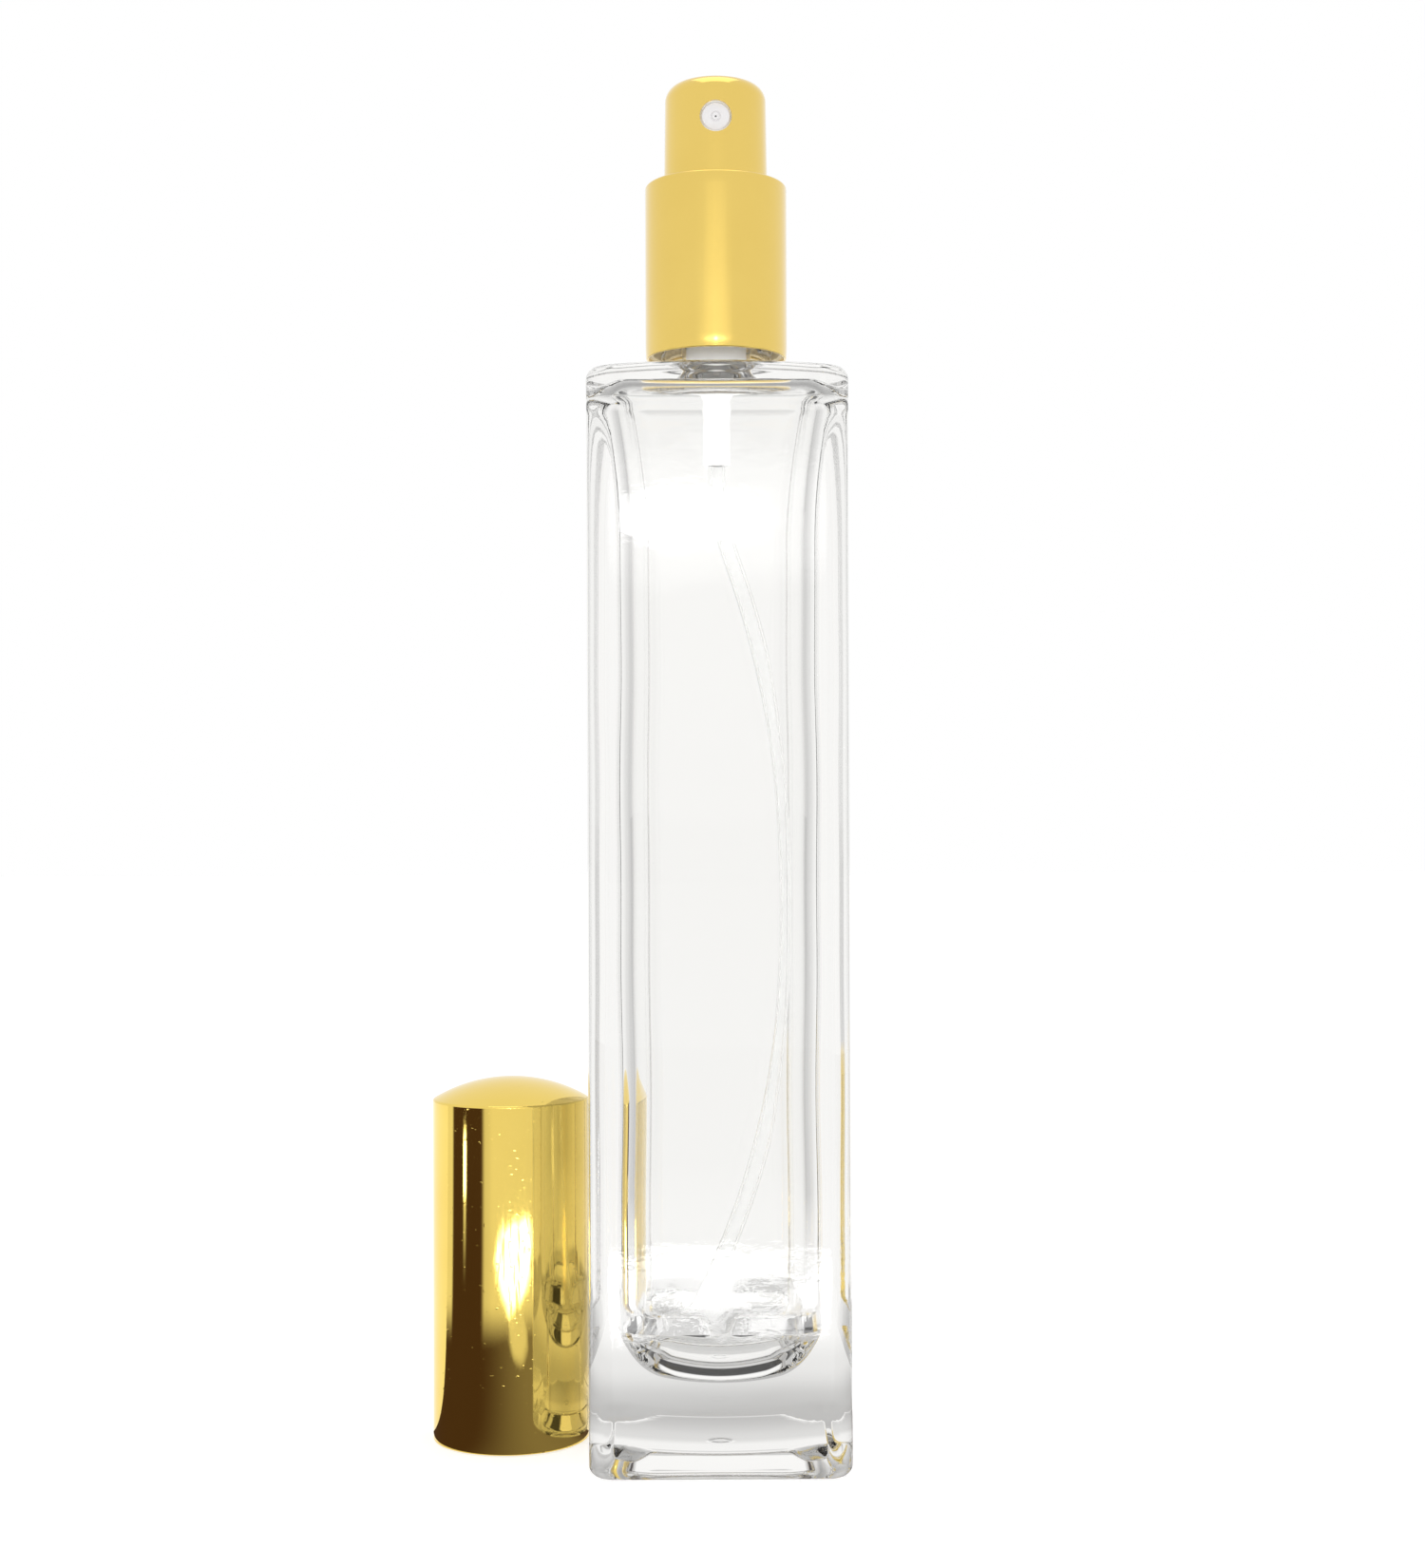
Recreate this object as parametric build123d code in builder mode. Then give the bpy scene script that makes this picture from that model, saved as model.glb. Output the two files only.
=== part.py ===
from build123d import *
import os
from math import cos, radians, sin, sqrt

# Aftershave bottle: a tall square bottle of thick clear glass with a screw-on fine-mist sprayer,
# and its overcap standing beside it. Millimetres, +Z up. The origin is on the bottle's axis, in
# the plane that the bottle stands on; the spray leaves towards -Y.

# ---- Driving sizes ------------------------------------------------------------------------

# Glass body
bottle_width = 36.0
body_corner_radius = 3.5
shoulder_height = 152.0
shoulder_crown = 0.9
shoulder_edge_radius = 1.7
heel_radius = 1.6
base_recess_width = 31.0
base_recess_corner = 5.0
base_recess_depth = 2.8
base_recess_slope = 15.0
mould_ring_radius = 1.6
mould_ring_width = 0.35
mould_ring_height = 0.2

# Hollow of the glass body
wall = 4.0
cavity_corner_radius = 6.5
cavity_floor = 11.0
cavity_dish_radius = 42.0
cavity_dish_angle = 35.0
cavity_floor_fillet = 6.2
flare_start = 128.0
flare_width = 32.4
flare_corner_radius = 4.6
flare_steps = 5
ceiling_thickness = 2.6
ceiling_fillet = 3.0
throat_radius = 7.0
throat_depth = 2.2

# Neck finish, 18 mm, 8 threads per inch
neck_radius = 7.9
neck_bore_radius = 4.95
neck_height = 15.2
neck_lip_fillet = 0.5
neck_root_fillet = 1.6
thread_pitch = 3.175
thread_crest_radius = 8.85
thread_base_width = 1.5
thread_crest_width = 0.8
neck_thread_drop = 10.2
neck_thread_turns = 2.0

# Screw closure and its metal sleeve
collar_radius = 10.15
collar_length = 24.8
collar_drop = 11.9
shell_thickness = 0.4
collar_mouth_radius = 7.8
collar_edge_radius = 0.45
closure_radius = 9.7
closure_setback = 0.5
closure_bore_radius = 9.05
closure_crest_radius = 8.2
closure_thread_turns = 1.25
chimney_radius = 8.1
web_thickness = 1.5
web_hole_radius = 5.7
small_chamfer = 0.25

# Gasket and pump housing
gasket_thickness = 1.2
gasket_radius = 8.1
flange_thickness = 1.2
flange_radius = 7.3
housing_radius = 4.3
housing_bore_radius = 3.0
housing_rim_height = 1.6
tail_top_radius = 2.5
tail_radius = 1.9
tail_drop = 28.0
tail_edge_fillet = 0.25
foot_rise = 4.5
foot_taper = (2.0, 4.9)
inlet_radius = 0.7
inlet_length = 3.9
vent_radius = 0.3
vent_drop = 5.0
seal_thickness = 0.6
seal_setback = 0.1
turret_clearance = 0.3
turret_height = 2.2
turret_chamfer = 0.5

# Moving inside of the pump
stem_radius = 1.8
stem_bore_radius = 0.9
stem_rise = 16.0
stem_flange_radius = 2.6
stem_flange_thickness = 1.1
stem_tip_chamfer = 0.2
running_clearance = 0.05
ball_radius = 1.2
ball_lift = 0.8
ball_clearance = 0.15
ball_seat_gap = 0.02
cage_rise = 0.8
cage_thickness = 0.5
cage_hole_radius = 0.35
cage_hole_circle = 0.85
spray_stroke = 5.0
piston_slip = 0.6
return_wire = 0.35
return_turns = 5
return_coil_radius = 1.85
precompression_wire = 0.3
precompression_turns = 4
precompression_coil_radius = 2.2
return_spring_length = 7.2
pin_guide_radius = 1.2
pin_guide_length = 2.0
pin_flange_radius = 2.2
pin_flange_thickness = 0.8
valve_cone_height = 1.2
valve_cone_radius = 1.7
valve_neck_radius = 0.6
valve_neck_length = 1.9
shank_length = 4.0
flute_width = 1.0
piston_height = 4.1
piston_lip_length = 0.7
piston_lip_taper = 0.5
piston_relief = 0.35
piston_throat_radius = 0.95
piston_seat_gap = 0.06
piston_setback = 0.5
piston_stop_gap = 0.1

# Dip tube
tube_radius = 1.2
tube_bore_radius = 0.8
tube_socket_depth = 7.0
tube_straight_end = 0.5
tube_bow_direction = -40.0
tube_first_bend = (30.0, 24.2)
tube_second_bend = (119.5, 24.2)
tube_third_bend = (107.0, 35.0)

# Button
button_rise = 10.0
button_height = 17.6
button_top_radius = 7.2
button_bottom_radius = 7.45
button_edge_radius = 2.4
button_crown = 0.25
button_shell_thickness = 0.35
button_roof_thickness = 0.45
nozzle_drop = 6.4
nozzle_hole_radius = 2.25
nozzle_radius = 2.03
nozzle_recess = 0.45
orifice_radius = 0.15
nozzle_face_thickness = 0.5
nozzle_edge_fillet = 0.2
nozzle_groove = (0.5, 0.75, 0.12)
nozzle_depth = 2.6
nozzle_block_wall = 0.8
swirl_post_radius = 1.15
post_setback = 0.6
post_root = 0.2
channel_radius = 0.6
cross_channel_radius = 0.3
core_setback = 0.6
core_wall = 0.8
core_clearance = 0.02
boss_radius = 3.4
stem_grip = 4.0

# Overcap
cap_radius = 11.3
cap_side_height = 48.9
cap_dome = 3.1
cap_edge_radius = 0.35
cap_shell_thickness = 0.5
cap_crown_inset = 0.1
cap_liner_radius = 10.75
cap_grip_radius = 10.2
cap_liner_bottom = 0.8
cap_liner_depth = 45.0
cap_liner_roof = 1.0
cap_place = (-30.3, 6.6)

# ---- Levels worked out from the driving sizes ---------------------------------------------

shoulder_top = shoulder_height + shoulder_crown
neck_top = shoulder_height + neck_height
neck_thread_start = neck_top - neck_thread_drop
cavity_width = bottle_width - 2 * wall
cavity_ceiling = shoulder_height - ceiling_thickness
gasket_top = neck_top + gasket_thickness
flange_top = gasket_top + flange_thickness
web_top = flange_top + web_thickness
rim_top = flange_top + housing_rim_height
collar_bottom = neck_top - collar_drop
collar_top = collar_bottom + collar_length
closure_bottom = collar_bottom + closure_setback
tail_bottom = neck_top - tail_drop
tube_top = tail_bottom + tube_socket_depth
stem_top = neck_top + stem_rise
button_bottom = neck_top + button_rise
button_top = button_bottom + button_height
nozzle_height = button_top - nozzle_drop


# ---- Helpers ------------------------------------------------------------------------------

def turned(outline, mode=Mode.ADD):
    """Turns a closed outline of (radius, height) points about the bottle's axis."""
    with BuildSketch(Plane.XZ) as section:
        with BuildLine():
            Polyline(*outline, close=True)
        make_face()
    revolve(section.sketch, axis=Axis.Z, mode=mode)


def screw_thread(root_radius, crest_radius, base_width, crest_width, start, turns):
    """Adds a helical thread with a trapezoid section, sunk slightly into its wall."""
    outward = 1 if crest_radius > root_radius else -1
    sunk_radius = root_radius - outward * 0.1
    helix = Helix(thread_pitch, turns * thread_pitch, sunk_radius, (0, 0, start), mode=Mode.PRIVATE)
    section_plane = Plane(origin=helix @ 0, x_dir=(outward, 0, 0), z_dir=helix % 0)
    depth = abs(crest_radius - sunk_radius)
    with BuildSketch(section_plane) as section:
        with BuildLine():
            Polyline(
                (0, -base_width / 2),
                (depth, -crest_width / 2),
                (depth, crest_width / 2),
                (0, base_width / 2),
                close=True,
            )
        make_face()
    sweep(sections=section.sketch, path=helix, is_frenet=True)


def coil_spring(coil_radius, wire, bottom, top, turns):
    """Adds a round-wire compression spring between two seats."""
    first = bottom + wire / 2
    rise = top - bottom - wire
    helix = Helix(rise / turns, rise, coil_radius, (0, 0, first), mode=Mode.PRIVATE)
    with BuildSketch(Plane(origin=helix @ 0, z_dir=helix % 0)) as section:
        Circle(wire / 2)
    sweep(sections=section.sketch, path=helix, is_frenet=True)


def sagitta(radius, half_chord):
    """Depth of a circular arc of this radius over a half chord."""
    return radius - sqrt(radius**2 - half_chord**2)


# ---- Glass bottle -------------------------------------------------------------------------

# The hollow is a rounded square with a dished floor, which widens towards the shoulder.
flare_rise = cavity_ceiling - flare_start
flare_side = (flare_width - cavity_width) / 2
flare_radius = (flare_rise**2 + flare_side**2) / (2 * flare_side)

with BuildPart() as cavity:
    with BuildSketch(Plane.XY.offset(cavity_floor)):
        RectangleRounded(cavity_width, cavity_width, cavity_corner_radius)
    extrude(amount=flare_start - cavity_floor)
    with BuildSketch(Plane.XZ):
        with BuildLine():
            dish_centre = (0, cavity_floor + cavity_dish_radius)
            dish = CenterArc(dish_centre, cavity_dish_radius, -90, cavity_dish_angle)
            Line(dish @ 1, ((dish @ 1).X, flare_start))
            Line(((dish @ 1).X, flare_start), (0, flare_start))
            Line((0, flare_start), dish @ 0)
        make_face()
    revolve(axis=Axis.Z, mode=Mode.INTERSECT)
    foot_top = cavity_floor + cavity_floor_fillet
    foot_edges = cavity.edges().filter_by_position(Axis.Z, cavity_floor, foot_top)
    fillet(foot_edges, cavity_floor_fillet)
    for step in range(flare_steps + 1):
        part_way = step / flare_steps
        spread = sagitta(flare_radius, part_way * flare_rise)
        corner = cavity_corner_radius + part_way * (flare_corner_radius - cavity_corner_radius)
        with BuildSketch(Plane.XY.offset(flare_start + part_way * flare_rise)):
            RectangleRounded(cavity_width + 2 * spread, cavity_width + 2 * spread, corner)
    loft()
    fillet(cavity.faces().sort_by(Axis.Z)[-1].edges(), ceiling_fillet)

with BuildPart() as glass_bottle:
    with BuildSketch(Plane.XY):
        RectangleRounded(bottle_width, bottle_width, body_corner_radius)
    extrude(amount=shoulder_top)
    # The shoulder is a shallow dome, highest round the neck.
    half_width = bottle_width / 2
    dome_radius = (half_width**2 + shoulder_crown**2) / (2 * shoulder_crown)
    with BuildSketch(Plane.XZ):
        with BuildLine():
            dome = RadiusArc(
                (0, shoulder_top),
                (bottle_width, shoulder_top - sagitta(dome_radius, bottle_width)),
                dome_radius,
            )
            Polyline(dome @ 1, (bottle_width, 0), (0, 0), dome @ 0)
        make_face()
    revolve(axis=Axis.Z, mode=Mode.INTERSECT)
    fillet(glass_bottle.faces().sort_by(Axis.Z)[-1].edges(), shoulder_edge_radius)
    fillet(glass_bottle.faces().sort_by(Axis.Z)[0].edges(), heel_radius)
    # Neck, flaring into the shoulder
    root_radius = neck_radius + neck_root_fillet
    root_height = shoulder_top - sagitta(dome_radius, root_radius)
    with BuildSketch(Plane.XZ):
        with BuildLine():
            root = CenterArc((root_radius, root_height + neck_root_fillet), neck_root_fillet, 180, 90)
            Polyline(
                root @ 1,
                (root_radius, root_height - 1),
                (0, root_height - 1),
                (0, neck_top),
                (neck_radius, neck_top),
                root @ 0,
            )
        make_face()
    revolve(axis=Axis.Z)
    add(cavity.part, mode=Mode.SUBTRACT)
    # Neck bore, opening into the hollow through a conical throat
    turned([
        (0, cavity_ceiling - 1),
        (throat_radius, cavity_ceiling - 1),
        (throat_radius, cavity_ceiling),
        (neck_bore_radius, cavity_ceiling + throat_depth),
        (neck_bore_radius, neck_top + 1),
        (0, neck_top + 1),
    ], mode=Mode.SUBTRACT)
    fillet(glass_bottle.edges().filter_by(GeomType.CIRCLE).group_by(Axis.Z)[-1], neck_lip_fillet)
    # Recess in the base, with a small ring left by the mould
    with BuildSketch(Plane.XY):
        RectangleRounded(base_recess_width, base_recess_width, base_recess_corner)
    extrude(amount=base_recess_depth, taper=base_recess_slope, mode=Mode.SUBTRACT)
    with BuildSketch(Plane.XY.offset(base_recess_depth - mould_ring_height)):
        Circle(mould_ring_radius)
        Circle(mould_ring_radius - mould_ring_width, mode=Mode.SUBTRACT)
    extrude(amount=2 * mould_ring_height)
    screw_thread(
        neck_radius, thread_crest_radius, thread_base_width, thread_crest_width,
        neck_thread_start, neck_thread_turns,
    )

# ---- Screw closure and its metal sleeve ---------------------------------------------------

with BuildPart() as screw_closure:
    turned([
        (closure_bore_radius, closure_bottom),
        (closure_radius, closure_bottom),
        (closure_radius, collar_top - shell_thickness),
        (chimney_radius, collar_top - shell_thickness),
        (chimney_radius, web_top),
        (web_hole_radius, web_top),
        (web_hole_radius, flange_top),
        (closure_bore_radius, flange_top),
    ])
    chamfer(screw_closure.edges().group_by(Axis.Z)[0].sort_by(SortBy.RADIUS)[0], small_chamfer)
    # The thread sits half a pitch away from the neck thread, so both flanks are clear.
    screw_thread(
        closure_bore_radius, closure_crest_radius, thread_base_width, thread_crest_width,
        neck_thread_start + thread_pitch / 2, closure_thread_turns,
    )

with BuildPart() as collar_shell:
    sleeve_bore = collar_radius - shell_thickness
    turned([
        (sleeve_bore, collar_bottom),
        (collar_radius, collar_bottom),
        (collar_radius, collar_top),
        (collar_mouth_radius, collar_top),
        (collar_mouth_radius, collar_top - shell_thickness),
        (sleeve_bore, collar_top - shell_thickness),
    ])
    rim = collar_shell.edges().group_by(Axis.Z)[-1].sort_by(SortBy.RADIUS)
    fillet(rim[-1], collar_edge_radius)
    fillet(rim[0], shell_thickness / 3)
    fillet(collar_shell.edges().group_by(Axis.Z)[0], shell_thickness / 3)

# ---- Pump body ----------------------------------------------------------------------------

with BuildPart() as neck_gasket:
    turned([
        (housing_radius, neck_top),
        (gasket_radius, neck_top),
        (gasket_radius, gasket_top),
        (housing_radius, gasket_top),
    ])

# The inlet seat is a 45 degree cone; the ball rests on it, and its cage stands above it.
seat_bottom = tube_top + inlet_length
ball_pocket_radius = ball_radius + ball_clearance
ball_centre = seat_bottom - inlet_radius + ball_radius * sqrt(2) + ball_seat_gap
cage_bottom = ball_centre + cage_rise
ball_stop = ball_centre + ball_radius + ball_lift
cage_top = ball_stop + cage_thickness
housing_foot = tube_top + foot_rise

with BuildPart() as pump_housing:
    turned([
        (inlet_radius, tube_top),
        (inlet_radius, seat_bottom),
        (ball_pocket_radius, seat_bottom + ball_pocket_radius - inlet_radius),
        (ball_pocket_radius, cage_bottom),
        (housing_bore_radius, cage_bottom),
        (housing_bore_radius, rim_top),
        (housing_radius, rim_top),
        (housing_radius, flange_top),
        (flange_radius, flange_top),
        (flange_radius, gasket_top),
        (housing_radius, gasket_top),
        (housing_radius, housing_foot),
        (tail_top_radius, housing_foot - foot_taper[0]),
        (tail_radius, housing_foot - foot_taper[1]),
        (tail_radius, tail_bottom),
        (tube_radius, tail_bottom),
        (tube_radius, tube_top),
    ])
    fillet(pump_housing.edges().group_by(Axis.Z)[0].sort_by(SortBy.RADIUS)[-1], tail_edge_fillet)
    # Vent that lets air into the bottle after each stroke
    with Locations(Plane.YZ.offset(housing_bore_radius - vent_radius).location):
        with Locations((0, rim_top - vent_drop)):
            Cylinder(
                vent_radius, housing_radius - housing_bore_radius + 2 * vent_radius,
                align=(Align.CENTER, Align.CENTER, Align.MIN), mode=Mode.SUBTRACT,
            )

seal_top = rim_top + seal_thickness

with BuildPart() as stem_seal:
    turned([
        (stem_radius + running_clearance, rim_top),
        (housing_radius - seal_setback, rim_top),
        (housing_radius - seal_setback, seal_top),
        (stem_radius + running_clearance, seal_top),
    ])

turret_radius = web_hole_radius - turret_clearance
turret_top = rim_top + turret_height

with BuildPart() as pump_retainer:
    turned([
        (housing_radius, flange_top),
        (turret_radius, flange_top),
        (turret_radius, turret_top),
        (stem_radius + 2 * running_clearance, turret_top),
        (stem_radius + 2 * running_clearance, seal_top),
        (housing_radius, seal_top),
    ])
    outer_rim = pump_retainer.edges().group_by(Axis.Z)[-1].sort_by(SortBy.RADIUS)[-1]
    chamfer(outer_rim, turret_chamfer)

with BuildPart() as spring_seat:
    turned([
        (ball_pocket_radius, cage_bottom),
        (housing_bore_radius, cage_bottom),
        (housing_bore_radius, cage_top),
        (0, cage_top),
        (0, ball_stop),
        (ball_pocket_radius, ball_stop),
    ])
    with Locations((0, 0, cage_top)):
        with PolarLocations(cage_hole_circle, 3):
            Hole(cage_hole_radius, cage_thickness)

with BuildPart() as inlet_ball:
    with Locations((0, 0, ball_centre)):
        Sphere(ball_radius)

# ---- Moving inside of the pump ------------------------------------------------------------

pin_flange_bottom = cage_top + return_spring_length
pin_flange_top = pin_flange_bottom + pin_flange_thickness
valve_cone_top = pin_flange_top + valve_cone_height
stem_foot = valve_cone_top + valve_neck_length
piston_bottom = pin_flange_top + piston_setback
piston_step = stem_foot - piston_slip - piston_stop_gap
piston_top = piston_bottom + piston_height

with BuildPart() as valve_pin:
    turned([
        (0, pin_flange_bottom - pin_guide_length),
        (pin_guide_radius, pin_flange_bottom - pin_guide_length),
        (pin_guide_radius, pin_flange_bottom),
        (pin_flange_radius, pin_flange_bottom),
        (pin_flange_radius, pin_flange_top),
        (valve_cone_radius, pin_flange_top),
        (valve_neck_radius, valve_cone_top),
        (valve_neck_radius, stem_foot),
        (stem_bore_radius, stem_foot),
        (stem_bore_radius, stem_foot + shank_length),
        (0, stem_foot + shank_length),
    ])
    # Two flats on the pressed-in shank let the liquid past
    with Locations((0, 0, stem_foot + shank_length / 2)):
        with GridLocations(2 * flute_width, 0, 2, 1):
            Box(flute_width, 2 * stem_bore_radius, shank_length, mode=Mode.SUBTRACT)

with BuildPart() as upper_stem:
    turned([
        (stem_bore_radius, stem_foot),
        (stem_radius, stem_foot),
        (stem_radius, rim_top - stem_flange_thickness),
        (stem_flange_radius, rim_top - stem_flange_thickness),
        (stem_flange_radius, rim_top),
        (stem_radius, rim_top),
        (stem_radius, stem_top),
        (stem_bore_radius, stem_top),
    ])
    chamfer(upper_stem.edges().group_by(Axis.Z)[-1].sort_by(SortBy.RADIUS)[-1], stem_tip_chamfer)

lip_radius = housing_bore_radius - running_clearance
waist_radius = lip_radius - piston_relief
waist_inset = piston_lip_length + piston_lip_taper

with BuildPart() as piston:
    cone_slope = (valve_cone_radius - valve_neck_radius) / valve_cone_height
    mouth_radius = valve_cone_radius - cone_slope * piston_setback + piston_seat_gap
    throat_height = piston_bottom + (mouth_radius - piston_throat_radius) / cone_slope
    turned([
        (mouth_radius, piston_bottom),
        (lip_radius, piston_bottom),
        (lip_radius, piston_bottom + piston_lip_length),
        (waist_radius, piston_bottom + waist_inset),
        (waist_radius, piston_top - waist_inset),
        (lip_radius, piston_top - piston_lip_length),
        (lip_radius, piston_top),
        (stem_radius + running_clearance, piston_top),
        (stem_radius + running_clearance, piston_step),
        (piston_throat_radius, piston_step),
        (piston_throat_radius, throat_height),
    ])

with BuildPart() as return_spring:
    coil_spring(return_coil_radius, return_wire, cage_top, pin_flange_bottom, return_turns)

with BuildPart() as precompression_spring:
    coil_spring(
        precompression_coil_radius, precompression_wire, piston_top,
        rim_top - stem_flange_thickness, precompression_turns,
    )

# ---- Dip tube -----------------------------------------------------------------------------

# Its centre line lies in one upright plane: straight out of its socket, out towards a corner
# of the bottle, back, and across to the far side at the tip.
bow_plane = Plane(
    origin=(0, 0, 0),
    x_dir=(cos(radians(tube_bow_direction)), sin(radians(tube_bow_direction)), 0),
    z_dir=(sin(radians(tube_bow_direction)), -cos(radians(tube_bow_direction)), 0),
)

with BuildPart() as dip_tube:
    with BuildLine(bow_plane) as tube_path:
        socket_run = Line((0, tube_top), (0, tail_bottom - tube_straight_end))
        bend_out = JernArc(socket_run @ 1, socket_run % 1, tube_first_bend[0], tube_first_bend[1])
        bend_back = JernArc(bend_out @ 1, bend_out % 1, tube_second_bend[0], -tube_second_bend[1])
        bend_across = JernArc(bend_back @ 1, bend_back % 1, tube_third_bend[0], -tube_third_bend[1])
    with BuildSketch(Plane.XY.offset(tube_top)):
        Circle(tube_radius)
        Circle(tube_bore_radius, mode=Mode.SUBTRACT)
    sweep(path=tube_path.wires()[0])

# ---- Button -------------------------------------------------------------------------------

def button_radius_at(height):
    """Outer radius of the tapered button at a height."""
    part_way = (height - button_bottom) / (button_top - button_bottom)
    return button_bottom_radius + part_way * (button_top_radius - button_bottom_radius)


button_side_top = button_top - button_crown
button_bore_top = button_side_top - button_roof_thickness
button_bore_fillet = button_edge_radius - button_shell_thickness
nozzle_face = button_radius_at(nozzle_height) - nozzle_recess

with BuildPart() as actuator_shell:
    with BuildSketch(Plane.XZ):
        with BuildLine():
            side = Line(
                (button_radius_at(button_bottom), button_bottom),
                (button_radius_at(button_side_top), button_side_top),
            )
            crown_radius = (button_top_radius**2 + button_crown**2) / (2 * button_crown)
            crown = RadiusArc(side @ 1, (0, button_top), -crown_radius)
            Polyline(
                crown @ 1,
                (0, button_bore_top),
                (button_radius_at(button_bore_top) - button_shell_thickness, button_bore_top),
                (button_radius_at(button_bottom) - button_shell_thickness, button_bottom),
                side @ 0,
            )
        make_face()
    revolve(axis=Axis.Z)
    top_edge = actuator_shell.edges().filter_by(
        lambda edge: abs(edge.center().Z - button_side_top) < 0.01
    ).sort_by(SortBy.RADIUS)[-1]
    fillet(top_edge, button_edge_radius)
    bore_edge = actuator_shell.edges().filter_by(
        lambda edge: abs(edge.center().Z - button_bore_top) < 0.01
    ).sort_by(SortBy.RADIUS)[-1]
    fillet(bore_edge, button_bore_fillet)
    with Locations(Plane(origin=(0, 0, nozzle_height), z_dir=(0, -1, 0)).location):
        Cylinder(
            nozzle_hole_radius, button_radius_at(nozzle_height) + 1,
            align=(Align.CENTER, Align.CENTER, Align.MIN), mode=Mode.SUBTRACT,
        )

core_bottom = button_bottom + core_setback
core_roof = nozzle_height + nozzle_radius + cross_channel_radius
pocket_bottom = nozzle_face - nozzle_depth
nozzle_axis = Plane(origin=(0, 0, nozzle_height), x_dir=(1, 0, 0), z_dir=(0, -1, 0))

core_top_radius = button_radius_at(button_bore_top) - button_shell_thickness - core_clearance
core_foot_radius = button_radius_at(core_bottom) - button_shell_thickness - core_clearance

# The space inside the core: a ring round the stem boss, crossed by the nozzle's block
with BuildPart() as core_hollow:
    turned([
        (0, core_bottom),
        (core_foot_radius - core_wall, core_bottom),
        (core_top_radius - core_wall, core_roof),
        (boss_radius, core_roof),
        (boss_radius, stem_top - stem_grip),
        (0, stem_top - stem_grip),
    ])
    with BuildSketch(nozzle_axis):
        Circle(nozzle_radius + nozzle_block_wall)
    extrude(amount=core_foot_radius, mode=Mode.SUBTRACT)

with BuildPart() as actuator_core:
    turned([
        (0, core_bottom),
        (core_foot_radius, core_bottom),
        (core_top_radius, button_bore_top),
        (0, button_bore_top),
    ])
    core_top_edge = actuator_core.edges().group_by(Axis.Z)[-1].sort_by(SortBy.RADIUS)[-1]
    fillet(core_top_edge, button_bore_fillet + core_clearance)
    add(core_hollow.part, mode=Mode.SUBTRACT)
    # Stem socket, upright channel, nozzle pocket with its swirl post, and cross channel
    with Locations((0, 0, stem_top - stem_grip)):
        Cylinder(
            stem_radius + core_clearance, stem_grip,
            align=(Align.CENTER, Align.CENTER, Align.MIN), mode=Mode.SUBTRACT,
        )
    with BuildSketch(nozzle_axis.offset(pocket_bottom)):
        Circle(nozzle_radius)
    extrude(amount=core_foot_radius, mode=Mode.SUBTRACT)
    with BuildSketch(nozzle_axis.offset(pocket_bottom - post_root)):
        Circle(swirl_post_radius)
    extrude(amount=nozzle_depth + post_root - post_setback)
    cross_channel_height = (swirl_post_radius + nozzle_radius) / 2
    with BuildSketch(nozzle_axis):
        with Locations((0, cross_channel_height)):
            Circle(cross_channel_radius)
    extrude(amount=pocket_bottom + post_root / 2, mode=Mode.SUBTRACT)
    channel_top = nozzle_height + cross_channel_height + cross_channel_radius
    with BuildSketch(Plane.XY.offset(stem_top)):
        Circle(channel_radius)
    extrude(amount=channel_top - stem_top, mode=Mode.SUBTRACT)

with BuildPart() as nozzle_insert:
    with BuildSketch(nozzle_axis.offset(pocket_bottom)):
        Circle(nozzle_radius)
        Circle(swirl_post_radius + core_clearance, mode=Mode.SUBTRACT)
    extrude(amount=nozzle_depth - nozzle_face_thickness)
    with BuildSketch(nozzle_axis.offset(nozzle_face - nozzle_face_thickness)):
        Circle(nozzle_radius)
    extrude(amount=nozzle_face_thickness)
    fillet(nozzle_insert.edges().group_by(Axis.Y)[0], nozzle_edge_fillet)
    groove_inner, groove_outer, groove_depth = nozzle_groove
    with BuildSketch(nozzle_axis.offset(nozzle_face - groove_depth)):
        Circle(groove_outer)
        Circle(groove_inner, mode=Mode.SUBTRACT)
    extrude(amount=groove_depth, mode=Mode.SUBTRACT)
    with BuildSketch(nozzle_axis.offset(nozzle_face - nozzle_face_thickness)):
        Circle(orifice_radius)
    extrude(amount=nozzle_face_thickness, mode=Mode.SUBTRACT)

# ---- Overcap, standing on the same surface beside the bottle ------------------------------

cap_plane = Plane(origin=(cap_place[0], cap_place[1], 0), x_dir=(1, 0, 0), z_dir=(0, -1, 0))
cap_axis = Axis((cap_place[0], cap_place[1], 0), (0, 0, 1))

with BuildPart() as cap_shell:
    dome_radius = (cap_radius**2 + cap_dome**2) / (2 * cap_dome)
    inner_radius = cap_radius - cap_shell_thickness
    with BuildSketch(cap_plane):
        with BuildLine():
            side = Line((cap_radius, 0), (cap_radius, cap_side_height))
            crown = RadiusArc(side @ 1, (0, cap_side_height + cap_dome), -dome_radius)
            crown_middle = Line(crown @ 1, (0, cap_side_height + cap_dome - cap_shell_thickness))
            inner_crown = RadiusArc(
                crown_middle @ 1, (inner_radius, cap_side_height - cap_crown_inset), dome_radius,
            )
            Polyline(inner_crown @ 1, (inner_radius, 0), (cap_radius, 0))
        make_face()
    revolve(axis=cap_axis)
    crown_edge = cap_shell.edges().filter_by(
        lambda edge: abs(edge.center().Z - cap_side_height) < 0.01
    ).sort_by(SortBy.RADIUS)[-1]
    fillet(crown_edge, cap_edge_radius)

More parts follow.
